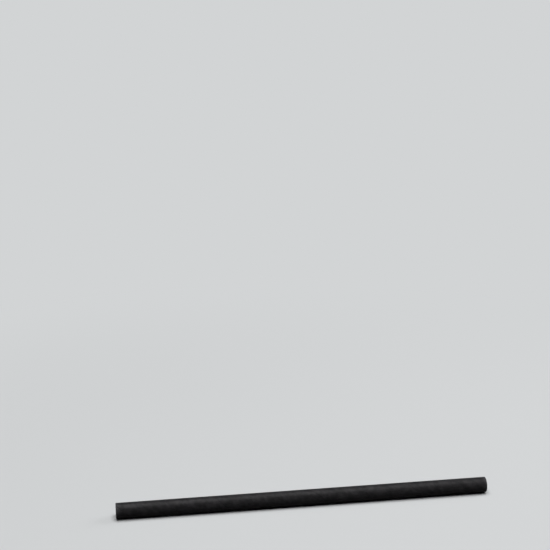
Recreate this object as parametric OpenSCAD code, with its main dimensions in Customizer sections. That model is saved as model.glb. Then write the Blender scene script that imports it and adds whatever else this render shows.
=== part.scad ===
// Paper drinking straw, wound from three strips of black paper and cut square at both ends.
// It lies on its side: +X runs along the straw, and Z = 0 is the surface under it.
// The origin is below the middle of the straw. Lengths are millimetres, angles are degrees.

/* [Straw] */
// Length from one cut end to the other
straw_length = 197; // [120:1:260]
// Diameter over the cover strip
straw_diameter = 8.2; // [5:0.1:12]

/* [Paper strips] */
// Thickness of the thin cover strip, the outermost one
cover_ply = 0.07; // [0.05:0.01:0.12]
// Thickness of the stiffer strip in the middle of the wall
core_ply = 0.17; // [0.1:0.01:0.24]
// Thickness of the strip that lines the bore
lining_ply = 0.16; // [0.1:0.01:0.24]

/* [Winding] */
// Angle between the edges of the cover strip and the straw's own axis
wind_angle = 45; // [30:1:60]
// Width of the seam where the two edges of a strip meet, measured square to the seam
seam_gap = 0.3; // [0.1:0.05:0.5]
// How far round the straw a strip's seam lies from the seam of the strip over it
seam_stagger = 120; // [60:10:160]

/* [Cut ends] */
// Size of the bevel that the round knife presses into the outer edge
cut_bevel = 0.06; // [0.02:0.02:0.12]

/* [Hidden] */
paper_black = "#323133";
outer_radius = straw_diameter / 2;
bore_radius = outer_radius - cover_ply - core_ply - lining_ply;
// How far the straw moves on for one turn of the strips, which is the same for all three
turn_pitch = PI * straw_diameter / tan(wind_angle);
// Where the cover's seam begins at the left end, counted round from the underside
seam_start = 200;
// A seam's slot runs this far past the paper, at the cut ends and at the face it opens on
past_paper = 0.5;
// A seam is made of short straight steps that each turn by about this much
seam_step = 8;
round_facets = 96;

// Angle between a strip's edges and the axis at some radius: it grows with the radius.
function edge_angle(radius) = atan(2 * PI * radius / turn_pitch);
// Width of a seam along the round of the straw, at some radius.
function seam_arc(radius) = seam_gap / cos(edge_angle(radius));

// Half of a lengthwise section through the wall, standing on one cut end.
module wall_profile() {
  polygon([
    [bore_radius, 0],
    [outer_radius - cut_bevel, 0],
    [outer_radius, cut_bevel],
    [outer_radius, straw_length - cut_bevel],
    [outer_radius - cut_bevel, straw_length],
    [bore_radius, straw_length],
  ]);
}

// A slot that winds along the whole straw as a right-handed screw, between two radii.
module seam_slot(low, high, start) {
  slot_length = straw_length + 2 * past_paper;
  slot_turn = 360 * slot_length / turn_pitch;
  arc = seam_arc((low + high) / 2);
  translate([0, 0, -past_paper])
    rotate(start)
      linear_extrude(height = slot_length, twist = -slot_turn, slices = ceil(slot_turn / seam_step))
        translate([low, -arc / 2])
          square([high - low, arc]);
}

// The cover's seam opens outwards and is as deep as the cover is thick.
module cover_seam() {
  seam_slot(outer_radius - cover_ply, outer_radius + past_paper, seam_start);
}

// The lining's seam opens into the bore and is as deep as the lining is thick.
// It lies two steps of the stagger on from the cover's seam, past the hidden seam between them.
module lining_seam() {
  seam_slot(bore_radius - past_paper, bore_radius + lining_ply, seam_start + 2 * seam_stagger);
}

module straw() {
  color(paper_black)
    translate([-straw_length / 2, 0, outer_radius])
      rotate([0, 90, 0])
        difference() {
          rotate_extrude($fn = round_facets) wall_profile();
          cover_seam();
          lining_seam();
        }
}

straw();
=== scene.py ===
"""Looks of a black paper drinking straw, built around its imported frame.

The straw is wound from three strips of dyed paper that are glued into one wall. The wall is made here as
one closed mesh whose columns follow the winding, so that the seams, the slit edges of the strips and the
cut ends have a real form. Sizes are in millimetres and degrees until a mesh, a lamp or the camera is made,
which are in metres and radians.
"""

import logging
import math
from dataclasses import dataclass, replace
from enum import Enum

import bpy
import numpy as np
from mathutils import Euler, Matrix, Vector
from mathutils.noise import noise


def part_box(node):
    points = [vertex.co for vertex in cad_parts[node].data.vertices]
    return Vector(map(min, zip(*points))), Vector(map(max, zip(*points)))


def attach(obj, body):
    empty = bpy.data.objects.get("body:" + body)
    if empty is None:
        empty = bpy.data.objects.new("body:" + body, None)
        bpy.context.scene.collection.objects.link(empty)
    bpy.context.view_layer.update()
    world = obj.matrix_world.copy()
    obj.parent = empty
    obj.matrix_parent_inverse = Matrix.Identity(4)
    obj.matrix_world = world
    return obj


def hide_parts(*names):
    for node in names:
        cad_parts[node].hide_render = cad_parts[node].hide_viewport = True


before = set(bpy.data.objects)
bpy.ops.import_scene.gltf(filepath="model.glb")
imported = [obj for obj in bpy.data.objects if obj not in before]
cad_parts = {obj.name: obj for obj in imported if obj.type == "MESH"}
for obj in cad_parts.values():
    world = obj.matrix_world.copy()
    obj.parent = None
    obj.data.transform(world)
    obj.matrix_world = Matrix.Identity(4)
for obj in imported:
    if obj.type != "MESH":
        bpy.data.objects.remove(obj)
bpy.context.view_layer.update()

# One millimetre in metres, which are Blender's units.
MM = 0.001
# The map that gives each face its place on its flat strip.
STRIP_MAP = "strip"
# A mix node has sockets for several kinds of value. These are the numbers of those for colours.
MIX_FIRST = 6
MIX_SECOND = 7
MIX_RESULT = 2
# The pale grey that the camera sees under the straw and behind it.
PALE_GREY = "#d2d4d5"
# The points of a section, each as two numbers.
Outline = tuple[tuple[float, float], ...]
log = logging.getLogger("straw")


def linear(colour: str) -> tuple[float, float, float, float]:
    """Turns an sRGB colour into the linear values that a shader takes.

    Args:
        colour: the colour as six hex digits after a hash.

    Returns:
        Red, green, blue and an alpha of 1.
    """
    channels = [int(colour[n:n + 2], 16) / 255 for n in (1, 3, 5)]
    light = [c / 12.92 if c <= 0.04045 else ((c + 0.055) / 1.055) ** 2.4 for c in channels]
    return (*light, 1.0)


def add_node(tree: bpy.types.NodeTree, kind: str, settings: dict | None = None,
             links: dict | None = None) -> bpy.types.Node:
    """Adds one node, sets it up and links what feeds it.

    Args:
        tree: the node tree that it goes into.
        kind: the node's type name.
        settings: values by name, for the node's own properties, or by the name or number of an input.
        links: output sockets by the name or number of the input that they feed.

    Returns:
        The new node.
    """
    node = tree.nodes.new(kind)
    for name, value in (settings or {}).items():
        if isinstance(name, str) and hasattr(node, name):
            setattr(node, name, value)
        else:
            node.inputs[name].default_value = value
    for name, output in (links or {}).items():
        tree.links.new(output, node.inputs[name])
    return node


def empty_material(name: str) -> bpy.types.Material:
    """Makes a material with an empty node tree.

    Args:
        name: the material's name.

    Returns:
        The material.
    """
    made = bpy.data.materials.new(name)
    made.use_nodes = True
    made.node_tree.nodes.clear()
    return made


def edge_angle(radius: float | np.ndarray, pitch: float) -> float | np.ndarray:
    """Gives the angle between the strips' edges and the axis, in radians, which grows with the radius."""
    return np.arctan(math.tau * radius / pitch)


def unit_noise(x: float, y: float, layer: float) -> float:
    """Gives noise from 0 to 1, at a place in one of its layers."""
    return 0.5 + 0.5 * noise(Vector((x, y, layer)))


class Face(Enum):
    """What a face of the wall is part of. The value is its material's place on the mesh."""

    COVER = 0
    LINING = 1
    CORE = 2
    CUT = 3


class Way(Enum):
    """Which way a seam goes into the wall from its face. The value is the sign of its step in radius."""

    INWARDS = -1
    OUTWARDS = 1


class Layer(Enum):
    """What is drawn from noise. The value is the layer that it comes from, so that no two look alike."""

    UNEVEN_COVER = 0.0
    SEAM_PATH = 1.0
    SEAM_WIDTH = 7.0
    TORN_END = 9.0


@dataclass(frozen=True)
class Pattern:
    """One pattern in the paper: noise that is drawn out along the strip."""

    # The size of its features along the strip and across it, and how many octaves of finer ones they have.
    along: float
    across: float
    octaves: float
    # It grows from none to its full share of the fibre colour between these two values of the noise.
    band: tuple[float, float]
    share: float
    # How strong each octave is beside the one before.
    octave_gain: float = 0.6

    def height(self, tree: bpy.types.NodeTree) -> bpy.types.NodeSocket:
        """Adds the noise, whose features have this pattern's sizes in millimetres.

        Args:
            tree: the material's node tree.

        Returns:
            The noise, from 0 to 1.
        """
        place = add_node(tree, "ShaderNodeUVMap", {"uv_map": STRIP_MAP}).outputs["UV"]
        scaled = add_node(tree, "ShaderNodeMapping", {"Scale": (1 / self.along, 1 / self.across, 1.0)},
                          {"Vector": place})
        return add_node(tree, "ShaderNodeTexNoise", {
            "Scale": 1.0, "Detail": self.octaves, "Roughness": self.octave_gain},
            {"Vector": scaled.outputs["Vector"]}).outputs["Fac"]

    def paleness(self, tree: bpy.types.NodeTree, height: bpy.types.NodeSocket) -> bpy.types.NodeSocket:
        """Adds how much of the fibre colour the noise brings.

        Args:
            tree: the material's node tree.
            height: the noise.

        Returns:
            The share of the fibre colour, from 0 to this pattern's full share.
        """
        low, high = self.band
        return add_node(tree, "ShaderNodeMapRange", {"From Min": low, "From Max": high, "To Max": self.share},
                        {"Value": height}).outputs["Result"]


# Fibres are about 1.5 mm by 0.03 mm. They are drawn broader than that, or they wouldn't show.
FIBRES = Pattern(along=2.0, across=0.13, octaves=4.0, band=(0.3, 0.7), share=0.16)
# Clouds in kraft paper are 3 to 6 mm across, and a little longer than wide.
CLOUDS = Pattern(along=4.5, across=4.5 / 1.4, octaves=3.0, band=(0.4, 0.64), share=0.34)
# Flecks are bundles of fibres of about 0.5 mm.
FLECKS = Pattern(along=0.6, across=0.6 / 1.6, octaves=1.0, band=(0.6, 0.8), share=0.2)
# A cut edge shows only the ends of the fibres, so its pattern is much finer.
CUT_FIBRES = replace(FIBRES, along=0.25, across=0.06)
CUT_CLOUDS = replace(CLOUDS, along=1.2, across=1.2 / 1.4)


@dataclass(frozen=True)
class DyedPaper:
    """Paper that is dyed black through its thickness, so that an edge is as dark as a face.

    The fibres lie mostly along the strip, which gives fine streaks that run with the winding. They settle
    unevenly on the wire, which gives soft clouds a few millimetres across, and some bundles stand out
    greyer as flecks.
    """

    name: str
    colour: str
    fibre_colour: str
    # Its mean roughness. Between the fibres it is rougher than on top of them, by the spread.
    roughness: float
    specular: float
    roughness_spread: float = 0.1
    sheen: float = 0.0
    sheen_roughness: float = 0.55
    # Cellulose fibres have a refractive index of about 1.5.
    ior: float = 1.5
    fibres: Pattern = FIBRES
    clouds: Pattern = CLOUDS
    flecks: Pattern = FLECKS
    # The fibres stand up by this much.
    fibre_relief: float = 0.006
    # Each end is paler over this much, by this share: partly where the round knife rubs the paper greyer,
    # partly painted light where the ends catch more light.
    rub_and_light_width: float = 3.0
    rub_and_light_share: float = 0.0

    def material(self, half_length: float) -> bpy.types.Material:
        """Makes the paper's material, whose pattern lies in the strip's own millimetres.

        Args:
            half_length: half of the straw's length, where the ends are paler, partly from the knife's rub and
                partly as painted light.

        Returns:
            The material.
        """
        made = empty_material(self.name)
        tree = made.node_tree
        fibres = self.fibres.height(tree)
        share = self.pale_share(tree, fibres, self.rub_and_light_at_ends(tree, half_length))
        colour = add_node(tree, "ShaderNodeMix", {
            "data_type": "RGBA", MIX_FIRST: linear(self.colour), MIX_SECOND: linear(self.fibre_colour)},
            {"Factor": share})
        dullness = add_node(tree, "ShaderNodeMapRange", {
            "To Min": self.roughness + self.roughness_spread / 2,
            "To Max": self.roughness - self.roughness_spread / 2}, {"Value": fibres})
        bump = add_node(tree, "ShaderNodeBump", {"Distance": self.fibre_relief * MM}, {"Height": fibres})
        surface = add_node(tree, "ShaderNodeBsdfPrincipled", {
            "IOR": self.ior, "Specular IOR Level": self.specular,
            "Sheen Weight": self.sheen, "Sheen Roughness": self.sheen_roughness,
        }, {"Base Color": colour.outputs[MIX_RESULT], "Roughness": dullness.outputs["Result"],
            "Normal": bump.outputs["Normal"]})
        add_node(tree, "ShaderNodeOutputMaterial", links={"Surface": surface.outputs["BSDF"]})
        return made

    def pale_share(self, tree: bpy.types.NodeTree, fibres: bpy.types.NodeSocket,
                   ends_rub_and_light: bpy.types.NodeSocket) -> bpy.types.NodeSocket:
        """Adds up how much of the paler fibre colour shows.

        Args:
            tree: the material's node tree.
            fibres: the noise of the fibres.
            ends_rub_and_light: what the paler ends add, partly the knife's rub and partly painted light.

        Returns:
            The share of the fibre colour, from 0 to 1.
        """
        share = ends_rub_and_light
        heights = ((self.fibres, fibres), (self.clouds, self.clouds.height(tree)),
                   (self.flecks, self.flecks.height(tree)))
        for pattern, height in heights:
            share = add_node(tree, "ShaderNodeMath", {"operation": "ADD", "use_clamp": True},
                             {0: share, 1: pattern.paleness(tree, height)}).outputs[0]
        return share

    def rub_and_light_at_ends(self, tree: bpy.types.NodeTree, half_length: float) -> bpy.types.NodeSocket:
        """Adds what grows from 0 to its full share over the last of each end: paler paper, partly the knife's
        rub and partly painted light.

        Args:
            tree: the material's node tree.
            half_length: half of the straw's length.

        Returns:
            The share that the paler ends add, partly the knife's rub and partly painted light.
        """
        place = add_node(tree, "ShaderNodeTexCoord").outputs["Object"]
        along = add_node(tree, "ShaderNodeSeparateXYZ", links={"Vector": place}).outputs["X"]
        away = add_node(tree, "ShaderNodeMath", {"operation": "ABSOLUTE"}, {0: along}).outputs[0]
        return add_node(tree, "ShaderNodeMapRange", {
            "From Min": (half_length - self.rub_and_light_width) * MM, "From Max": half_length * MM,
            "To Max": self.rub_and_light_share}, {"Value": away}).outputs["Result"]


# Machine-glazed paper of 60 g/m2 with its smooth side out. A hot cylinder has ironed the fibres flat, so its
# gloss is fairly sharp but very weak: dull black, with a soft satin light along the top.
# Its ends are paler over the last 3 mm: partly rubbed greyer by the knife, partly painted light where the
# ends catch more light than the middle.
COVER_PAPER = DyedPaper("machine-glazed dyed kraft", "#272627", "#4c4b4d", roughness=0.33, specular=0.05,
                        rub_and_light_share=0.55)
# Uncoated paper of 120 g/m2 lines the bore: rougher, with no gloss.
LINING_PAPER = DyedPaper("uncoated dyed kraft", "#262527", "#434244", roughness=0.86, specular=0.1)
# The stiff strip in the middle is seen only at the bottom of the seams. It is as black as the strips on it,
# but dull, so that a seam shows by its depth and not by its colour.
CORE_PAPER = DyedPaper("uncoated dyed core paper", "#252426", "#3f3e40", roughness=0.9, specular=0.1)
# A knife-cut edge shows the ends of the fibres, which scatter light and look greyer than a face.
CUT_PAPER = DyedPaper("cut edge of dyed kraft", "#373638", "#5b5a5c", roughness=0.92, specular=0.1,
                      sheen=0.03, fibres=CUT_FIBRES, clouds=CUT_CLOUDS, fibre_relief=0.01)
PAPERS = {Face.COVER: COVER_PAPER, Face.LINING: LINING_PAPER, Face.CORE: CORE_PAPER, Face.CUT: CUT_PAPER}


@dataclass(frozen=True)
class Seam:
    """The slot where the two slit edges of one strip meet. It opens on one face of the wall."""

    # The middle of the slot, in degrees round from the middle of the cover's seam.
    middle: float
    # The radius of the face that it opens on, and its depth, which is the strip's thickness.
    radius: float
    depth: float
    way: Way
    # Its width, square to the strip's edges, and the pitch that it is wound at.
    gap: float
    pitch: float
    # The slit edges are rounded by about this much.
    rounding: float = 0.03
    # Places on a slit edge, in roundings out from the slot's side: the face turns down at the brink, the
    # cut paper shows from the lip to the foot, and the floor is flat from the toe.
    brink: float = 2.2
    lip: float = 0.8
    foot: float = -0.3
    toe: float = -1.3
    # How far the paper has turned down at the lip and at the slot's side, and the foot's height.
    lip_depth: float = 0.006
    side_depth: float = 0.02
    foot_height: float = 0.01
    # The whole seam strays by up to this much, in waves of about this length.
    stray: float = 0.07
    stray_wave: float = 11.0
    # Each of its sides varies by up to this much more, in shorter waves.
    widening: float = 0.04
    widening_wave: float = 6.0
    # Both die away over this distance round the straw, so that they stay near the seam.
    reach: float = 1.2

    @property
    def half(self) -> float:
        """Half of its width round the straw, in degrees, at half of its depth."""
        radius = self.radius + self.way.value * self.depth / 2
        return math.degrees(self.gap / math.cos(edge_angle(radius, self.pitch)) / 2 / radius)

    @property
    def rim(self) -> float:
        """The rounding of a slit edge, in degrees round the straw."""
        return math.degrees(self.rounding / self.radius)

    def stations(self) -> list[tuple[float, float]]:
        """Draws its section.

        Returns:
            The section as (angle, radius), from one side to the other.
        """
        sign = self.way.value
        floor = self.radius + sign * self.depth
        slit_edge = [
            (self.brink, self.radius),
            (self.lip, self.radius + sign * self.lip_depth),
            (0.0, self.radius + sign * self.side_depth),
            (self.foot, floor - sign * self.foot_height),
            (self.toe, floor),
        ]
        side = [(self.half + out * self.rim, radius) for out, radius in slit_edge]
        left = [(self.middle - a, r) for a, r in side]
        right = [(self.middle + a, r) for a, r in reversed(side)]
        return [*left, (self.middle, floor), *right]

    def face_kinds(self, angles: np.ndarray, plain: Face) -> np.ndarray:
        """Tells what the faces round the straw are part of.

        Args:
            angles: the middles of the faces, in degrees.
            plain: what they are part of away from the seam.

        Returns:
            The value of each one's kind of face.
        """
        away = np.abs(angles - self.middle)
        kinds = np.where(away < self.half + self.lip * self.rim, Face.CUT.value, plain.value)
        return np.where(away < self.half + self.foot * self.rim, Face.CORE.value, kinds)

    def waves(self, x: np.ndarray, most: float, wave: float, layer: Layer) -> np.ndarray:
        """Draws waves along the straw, of up to some size and of about some length."""
        return np.array([most * noise(Vector((u / wave, self.middle, layer.value))) for u in x])

    def wander(self, x: np.ndarray, angles: np.ndarray) -> np.ndarray:
        """Works out how far the strip's edges stray, because its width and its path vary a little.

        Args:
            x: the rings' places along the straw.
            angles: the columns' angles.

        Returns:
            What each ring and column turns by, in degrees.
        """
        arc = np.radians(angles - self.middle) * self.radius
        side = np.clip((angles - self.middle) / self.half, -1, 1)
        path = self.waves(x, self.stray, self.stray_wave, Layer.SEAM_PATH)
        width = self.waves(x, self.widening, self.widening_wave, Layer.SEAM_WIDTH)
        moved = np.exp(-(arc / self.reach) ** 2) * (path[:, None] + width[:, None] * side[None, :])
        return np.degrees(moved / self.radius)


@dataclass
class StrawWall:
    """The straw's wall: three strips of paper wound as one right-handed screw and cut square at both ends."""

    # The node of the frame that it stands for, its own name, its material slot and the body that it is on.
    node: str = "straw"
    name: str = "wound_paper_wall"
    slot: str = "black_paper"
    body: str = "root"
    # The thicknesses of the three strips, from outside.
    cover_ply: float = 0.07
    core_ply: float = 0.17
    lining_ply: float = 0.16
    # The angle between the cover's edges and the axis, the width of a seam, square to it, and how far round
    # the straw each strip's seam lies from the one over it.
    wind_angle: float = 45.0
    seam_gap: float = 0.3
    seam_stagger: float = 120.0
    # The seam of the cover starts at this angle from the underside, this far before the left end.
    seam_start: float = 200.0
    past_paper: float = 0.5
    # The cover sinks by this much into the hidden seam under it, over about this width. The dip is drawn
    # out to this many widths on either side, through this many points.
    sunk_depth: float = 0.02
    sunk_width: float = 0.5
    sunk_reach: float = 1.2
    sunk_points: int = 9
    # Glue and fibre leave the cover this uneven, always inwards, in patches of this size.
    uneven: float = 0.012
    uneven_size: float = 7.0
    # The section of a cut end, as (share of the wall from outside, how far back from the end): the outer
    # edge that the knife rolls over, the middle strip, and the lining with the inner edge.
    outer_edge: Outline = ((0.0, 0.06), (0.03, 0.025), (0.09, 0.006))
    core_cut: Outline = ((0.32, 0.0), (0.46, 0.002))
    lining_cut: Outline = ((0.76, 0.0), (0.93, 0.006), (1.0, 0.04))
    # The fine groove where two strips are glued, as (share of the wall from there, how far back).
    glue_groove: Outline = ((-0.03, 0.004), (0.0, 0.035), (0.03, 0.006))
    # The torn fibres of a cut end lie back by up to this much, and change at this pace with each degree and
    # each ring. They stop short of both edges by this share of the wall.
    torn_depth: float = 0.016
    torn_pace: float = 0.9
    torn_margin: float = 0.02
    # The mesh has this many even columns round the straw, some of which give way to closer ones at the
    # seams, and this many rings along the outside and along the bore.
    columns: int = 60
    outer_rings: int = 440
    bore_rings: int = 200
    # Faces that meet at more than this angle meet in a sharp edge.
    sharp_angle: float = 40.0

    def __post_init__(self) -> None:
        """Takes the straw's length and radii from the frame, and lays out the two open seams."""
        low, high = (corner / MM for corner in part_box(self.node))
        self.length = high.x - low.x
        self.radius = (high.z - low.z) / 2
        self.height = (high.z + low.z) / 2
        self.wall = self.cover_ply + self.core_ply + self.lining_ply
        self.bore = self.radius - self.wall
        self.pitch = math.tau * self.radius / math.tan(math.radians(self.wind_angle))
        self.cover_seam = Seam(0.0, self.radius, self.cover_ply, Way.INWARDS, self.seam_gap, self.pitch)
        # The lining's seam lies two steps of the stagger on. Angles run from -180 to 180.
        self.lining_seam = Seam(2 * self.seam_stagger - 360, self.bore, self.lining_ply, Way.OUTWARDS,
                                self.seam_gap, self.pitch)

    def turned(self, x: np.ndarray) -> np.ndarray:
        """Gives where the cover's seam is at each x, in degrees from the underside."""
        return self.seam_start + 360 * (x + self.length / 2 + self.past_paper) / self.pitch

    def sunk_stations(self) -> list[tuple[float, float]]:
        """Draws the shallow dip of the cover over the hidden seam of the middle strip.

        Returns:
            The section of the dip as (angle, radius).
        """
        spread = math.degrees(self.sunk_width / self.radius)
        return [(self.seam_stagger + t * spread, self.radius - self.sunk_depth * math.exp(-(2 * t) ** 2))
                for t in np.linspace(-self.sunk_reach, self.sunk_reach, self.sunk_points)]

    def section(self) -> tuple[np.ndarray, np.ndarray, np.ndarray]:
        """Draws the wall's section, turned so that the cover's seam is at 0.

        Returns:
            The columns' angles in degrees from -180 to 180, and the outer and the inner radius at each.
        """
        outside = sorted([*self.cover_seam.stations(), *self.sunk_stations()])
        inside = self.lining_seam.stations()
        fixed = sorted(a for a, _ in [*outside, *inside])
        even = np.linspace(-180, 180, self.columns, endpoint=False)
        half_step = 180 / self.columns
        free = [a for a in even if min(abs(a - b) for b in fixed) > half_step]
        angles = np.array(sorted([*fixed, *free]))
        outer = np.interp(angles, *zip(*outside), left=self.radius, right=self.radius)
        inner = np.interp(angles, *zip(*inside), left=self.bore, right=self.bore)
        return angles, outer, inner

    def cut_profile(self) -> list[tuple[float, float]]:
        """Draws a cut end across the wall, with a fine groove at each joint between two strips.

        Returns:
            Points as (share of the wall from outside, how far back from the end).
        """
        joints = [self.cover_ply / self.wall, (self.cover_ply + self.core_ply) / self.wall]
        grooves = [[(joint + off, back) for off, back in self.glue_groove] for joint in joints]
        return [*self.outer_edge, *grooves[0], *self.core_cut, *grooves[1], *self.lining_cut]

    def loop(self) -> tuple[np.ndarray, np.ndarray]:
        """Lays out the rings: along the outside, round the right end, back in the bore, round the left.

        Returns:
            Each ring's x, and its share of the wall from the outside.
        """
        end = self.length / 2
        cut = self.cut_profile()
        outer_end = end - cut[0][1]
        bore_end = end - cut[-1][1]
        out_x = np.linspace(-outer_end, outer_end, self.outer_rings)
        in_x = np.linspace(bore_end, -bore_end, self.bore_rings)
        right = [(end - back, share) for share, back in cut[1:-1]]
        left = [(-end + back, share) for share, back in reversed(cut[1:-1])]
        rings = [*((x, 0.0) for x in out_x), *right, *((x, 1.0) for x in in_x), *left]
        return np.array([x for x, _ in rings]), np.array([share for _, share in rings])

    def points(self, angles: np.ndarray, x: np.ndarray, radius: np.ndarray, share: np.ndarray) -> np.ndarray:
        """Places the mesh's points.

        Args:
            angles: the columns' angles.
            x: the rings' places along the straw.
            radius: the true radius at each ring and column.
            share: the rings' shares of the wall.

        Returns:
            The points in metres, by ring and column.
        """
        # The cover is uneven up to its slit edges, and the seam's floor keeps its depth.
        on_cover = (share == 0)[:, None] & (radius > self.radius - self.sunk_depth - self.uneven)
        worn = radius - np.where(on_cover, self.dips(x, angles), 0.0)
        torn = ((share > self.torn_margin) & (share < 1 - self.torn_margin))[:, None]
        along = x[:, None] - np.where(torn, np.sign(x)[:, None] * self.tears(x, angles), 0.0)
        stray = self.cover_seam.wander(x, angles) + self.lining_seam.wander(x, angles)
        turn = np.radians(angles[None, :] + self.turned(x)[:, None] + stray)
        return np.stack([along, worn * np.sin(turn), self.height - worn * np.cos(turn)], -1) * MM

    def dips(self, x: np.ndarray, angles: np.ndarray) -> np.ndarray:
        """Works out how far the cover lies below its true radius.

        Args:
            x: the rings' places along the straw.
            angles: the columns' angles.

        Returns:
            The depth at each ring and column.
        """
        size = self.uneven_size
        layer = Layer.UNEVEN_COVER.value
        arc = np.radians(angles) * self.radius
        return np.array([[self.uneven * unit_noise((u + a) / size, (u - a) / size, layer) for a in arc]
                         for u in x])

    def tears(self, x: np.ndarray, angles: np.ndarray) -> np.ndarray:
        """Works out how far back the torn fibres of a cut end lie.

        Args:
            x: the rings' places along the straw.
            angles: the columns' angles.

        Returns:
            The distance at each ring and column.
        """
        pace = self.torn_pace
        layers = np.copysign(Layer.TORN_END.value, x)
        return np.array([[self.torn_depth * unit_noise(a * pace, n * pace, layer) for a in angles]
                         for n, layer in enumerate(layers)])

    def build(self) -> bpy.types.Object:
        """Makes the wall as one closed mesh.

        Returns:
            The new piece.
        """
        angles, outer, inner = self.section()
        x, share = self.loop()
        radius = outer[None, :] * (1 - share[:, None]) + inner[None, :] * share[:, None]
        number = np.arange(radius.size).reshape(radius.shape)
        onward, aside = np.roll(number, -1, 0), np.roll(number, -1, 1)
        quads = np.stack([number, aside, np.roll(onward, -1, 1), onward], -1).reshape(-1, 4)
        mesh = bpy.data.meshes.new(self.name)
        mesh.from_pydata(self.points(angles, x, radius, share).reshape(-1, 3).tolist(), [], quads.tolist())
        self.lay_strip_map(mesh, angles, x, share)
        self.sort_faces(mesh, angles, share)
        mesh.shade_smooth()
        mesh.set_sharp_from_angle(angle=math.radians(self.sharp_angle))
        piece = bpy.data.objects.new(self.name, mesh)
        bpy.context.collection.objects.link(piece)
        return piece

    @staticmethod
    def next_angles(angles: np.ndarray) -> np.ndarray:
        """Gives the angle of the column after each one, which after the last is the first, a turn on."""
        return np.append(angles[1:], angles[0] + 360)

    def lay_strip_map(self, mesh: bpy.types.Mesh, angles: np.ndarray, x: np.ndarray,
                      share: np.ndarray) -> None:
        """Gives each face its place on its own flat strip, in millimetres along it and across it.

        The pattern breaks at the strip's seam, as the real paper does.

        Args:
            mesh: the wall's mesh.
            angles: the columns' angles.
            x: the rings' places along the straw.
            share: the rings' shares of the wall.
        """
        beyond = self.next_angles(angles)
        next_x, next_share = np.roll(x, -1), np.roll(share, -1)
        in_bore = (share == 1) & (next_share == 1)
        seam = np.where(in_bore, self.lining_seam.middle, self.cover_seam.middle)
        lift = np.where((angles + beyond)[None, :] / 2 < seam[:, None], 360.0, 0.0)
        corners = ((x, share, angles), (x, share, beyond),
                   (next_x, next_share, beyond), (next_x, next_share, angles))
        places = [self.on_strip(ring, part, column + lift) for ring, part, column in corners]
        flat = np.stack(places, 2).reshape(-1).astype(np.float32)
        mesh.uv_layers.new(name=STRIP_MAP).data.foreach_set("uv", flat)

    def on_strip(self, x: np.ndarray, share: np.ndarray, angles: np.ndarray) -> np.ndarray:
        """Finds places on the flat strip.

        Across a cut edge, the depth into the wall is added, so that the pattern isn't drawn out there.

        Args:
            x: the rings' places along the straw.
            share: the rings' shares of the wall.
            angles: the angle from the cover's seam at each ring and column.

        Returns:
            The distances along and across the strip at each ring and column.
        """
        radius = (self.radius * (1 - share) + self.bore * share)[:, None]
        deep = np.where((share > 0) & (share < 1), self.wall * share, 0.0)[:, None]
        lean = edge_angle(radius, self.pitch)
        arc = np.radians(angles) * radius
        return np.stack([x[:, None] / np.cos(lean) + arc * np.sin(lean), arc * np.cos(lean) + deep], -1)

    def sort_faces(self, mesh: bpy.types.Mesh, angles: np.ndarray, share: np.ndarray) -> None:
        """Tells each face which strip, or which cut edge, it is part of.

        Args:
            mesh: the wall's mesh.
            angles: the columns' angles.
            share: the rings' shares of the wall.
        """
        after = np.roll(share, -1)
        middle = (angles + self.next_angles(angles)) / 2
        kinds = np.full((len(share), len(angles)), Face.CUT.value)
        kinds[(share == 0) & (after == 0)] = self.cover_seam.face_kinds(middle, Face.COVER)
        kinds[(share == 1) & (after == 1)] = self.lining_seam.face_kinds(middle, Face.LINING)
        mesh.polygons.foreach_set("material_index", kinds.reshape(-1).astype(np.int32))

    def dress(self, piece: bpy.types.Object) -> None:
        """Puts a paper on each kind of face.

        Args:
            piece: the wall.
        """
        for face in Face:
            piece.data.materials.append(PAPERS[face].material(self.length / 2))

    def place(self) -> bpy.types.Object:
        """Builds and dresses the wall, and lets it stand for the node of the frame.

        Returns:
            The wall.
        """
        piece = self.build()
        self.dress(piece)
        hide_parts(self.node)
        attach(piece, self.body)
        return piece


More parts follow.
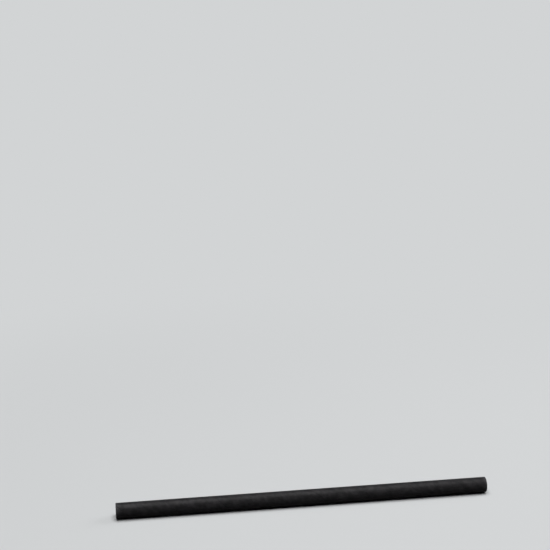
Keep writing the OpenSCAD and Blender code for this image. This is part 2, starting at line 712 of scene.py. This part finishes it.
@dataclass(frozen=True)
class MattBoard:
    """Plain pale matt board, the surface that the straw lies on.

    The camera sees it pale, and evenly so far from the straw. It throws hardly any light on the straw, so
    that the paper stays dark towards its underside.
    """

    name: str = "pale matt board"
    # Its tone to the camera, and for the light that it throws on the straw.
    seen: str = PALE_GREY
    bounced: str = "#111213"
    roughness: float = 0.9
    # The board is lit by the lamps up to the near distance, and is an even tone past the far one.
    near: float = 130.0
    far: float = 420.0

    def material(self) -> bpy.types.Material:
        """Makes the board's material.

        Returns:
            The material.
        """
        made = empty_material(self.name)
        tree = made.node_tree
        seen = self.seen_straight_or_mirrored(tree)
        colour = add_node(tree, "ShaderNodeMix", {
            "data_type": "RGBA", MIX_FIRST: linear(self.bounced), MIX_SECOND: linear(self.seen)},
            {"Factor": seen})
        lit = add_node(tree, "ShaderNodeBsdfPrincipled", {
            "Roughness": self.roughness, "Specular IOR Level": 0.0},
            {"Base Color": colour.outputs[MIX_RESULT]})
        even = add_node(tree, "ShaderNodeEmission", {"Color": linear(self.seen)})
        place = add_node(tree, "ShaderNodeTexCoord")
        away = add_node(tree, "ShaderNodeVectorMath", {"operation": "LENGTH"}, {0: place.outputs["Object"]})
        fade = add_node(tree, "ShaderNodeMapRange", {
            "interpolation_type": "SMOOTHSTEP", "From Min": self.near * MM, "From Max": self.far * MM},
            {"Value": away.outputs["Value"]})
        share = add_node(tree, "ShaderNodeMath", {"operation": "MULTIPLY"},
                         {0: fade.outputs["Result"], 1: seen})
        surface = add_node(tree, "ShaderNodeMixShader", links={
            "Fac": share.outputs[0], 1: lit.outputs["BSDF"], 2: even.outputs["Emission"]})
        add_node(tree, "ShaderNodeOutputMaterial", links={"Surface": surface.outputs["Shader"]})
        return made

    @staticmethod
    def seen_straight_or_mirrored(tree: bpy.types.NodeTree) -> bpy.types.NodeSocket:
        """Adds what is 1 where the camera sees the board straight, mirrored or through something.

        Args:
            tree: the board's node tree.

        Returns:
            That switch, which is 0 for light that the board throws on the straw.
        """
        path = add_node(tree, "ShaderNodeLightPath").outputs
        seen = path["Is Camera Ray"]
        for ray in ("Is Glossy Ray", "Is Transmission Ray"):
            seen = add_node(tree, "ShaderNodeMath", {"operation": "MAXIMUM"},
                            {0: seen, 1: path[ray]}).outputs[0]
        return seen


@dataclass(frozen=True)
class SoftLamp:
    """A rectangular softbox."""

    name: str
    # Where it hangs, the lengths of its two sides, and its power.
    place: tuple[float, float, float]
    width: float
    depth: float
    watts: float

    def hang(self) -> None:
        """Hangs the lamp, aimed at the straw."""
        data = bpy.data.lights.new(self.name, "AREA")
        data.shape = "RECTANGLE"
        data.size = self.width * MM
        data.size_y = self.depth * MM
        data.energy = self.watts
        lamp = bpy.data.objects.new(self.name, data)
        lamp.location = Vector(self.place) * MM
        lamp.rotation_euler = (-lamp.location).to_track_quat("-Z", "Y").to_euler()
        bpy.context.collection.objects.link(lamp)


@dataclass
class Studio:
    """Everything round the straw: the board, the lamps, the world and the camera."""

    # The board is a square with sides of this length.
    floor_size: float = 12000.0
    # The camera stands here in the straw's own frame, turned to the right and tilted down by these angles.
    camera_place: tuple[float, float, float] = (-115.0, -603.0, 296.05)
    heading: float = 9.346
    tilt: float = 15.55
    # Its focal length and the width of its picture in pixels, and the width of its sensor.
    focal_px: float = 1275.0
    frame_px: float = 550.0
    sensor: float = 36.0
    # It sees what lies between these two distances.
    nearest: float = 10.0
    farthest: float = 50000.0
    # A broad softbox hangs nearly straight above, and two weak ones in front and at the side fill in.
    lamps: tuple[SoftLamp, ...] = (
        SoftLamp("overhead softbox", (0.0, -145.0, 2000.0), 1500.0, 1850.0, 43.0),
        SoftLamp("front softbox", (-900.0, -1200.0, 1900.0), 1000.0, 1000.0, 1.4),
        SoftLamp("side softbox", (1000.0, 300.0, 650.0), 700.0, 700.0, 3.0),
    )
    world_colour: str = PALE_GREY
    fill_strength: float = 0.012

    def lay_floor(self) -> None:
        """Lays the board under the straw."""
        half = self.floor_size / 2 * MM
        mesh = bpy.data.meshes.new("board")
        corners = [(-half, -half, 0), (half, -half, 0), (half, half, 0), (-half, half, 0)]
        mesh.from_pydata(corners, [], [(0, 1, 2, 3)])
        mesh.materials.append(MattBoard().material())
        board = bpy.data.objects.new("board", mesh)
        bpy.context.collection.objects.link(board)

    def fill_world(self) -> None:
        """Gives a pale surround that the camera sees, and a weak even fill for everything else."""
        world = bpy.data.worlds.new("surround")
        bpy.context.scene.world = world
        world.use_nodes = True
        tree = world.node_tree
        tree.nodes.clear()
        path = add_node(tree, "ShaderNodeLightPath").outputs
        strength = add_node(tree, "ShaderNodeMapRange", {"To Min": self.fill_strength, "To Max": 1.0},
                            {"Value": path["Is Camera Ray"]})
        sky = add_node(tree, "ShaderNodeBackground", {"Color": linear(self.world_colour)},
                       {"Strength": strength.outputs["Result"]})
        add_node(tree, "ShaderNodeOutputWorld", links={"Surface": sky.outputs["Background"]})

    def set_camera(self) -> None:
        """Puts the camera where the picture is taken from."""
        data = bpy.data.cameras.new("camera")
        data.sensor_width = self.sensor
        data.lens = self.focal_px / self.frame_px * self.sensor
        data.clip_start = self.nearest * MM
        data.clip_end = self.farthest * MM
        camera = bpy.data.objects.new("camera", data)
        camera.location = Vector(self.camera_place) * MM
        camera.rotation_euler = Euler((math.radians(90 - self.tilt), 0.0, -math.radians(self.heading)))
        bpy.context.collection.objects.link(camera)
        bpy.context.scene.camera = camera

    def build(self) -> None:
        """Sets the whole studio up."""
        bpy.context.scene.view_settings.view_transform = "Standard"
        self.set_camera()
        self.lay_floor()
        for lamp in self.lamps:
            lamp.hang()
        self.fill_world()


def main() -> None:
    """Builds the straw and its studio."""
    logging.basicConfig(level=logging.INFO, format="%(name)s: %(message)s")
    wall = StrawWall()
    piece = wall.place()
    log.info("%s: %d faces, %.1f mm long, %.2f mm across", piece.name, len(piece.data.polygons), wall.length,
             2 * wall.radius)
    studio = Studio()
    studio.build()
    log.info("studio: board, %d softboxes, surround and camera", len(studio.lamps))


if __name__ == "__main__":
    main()
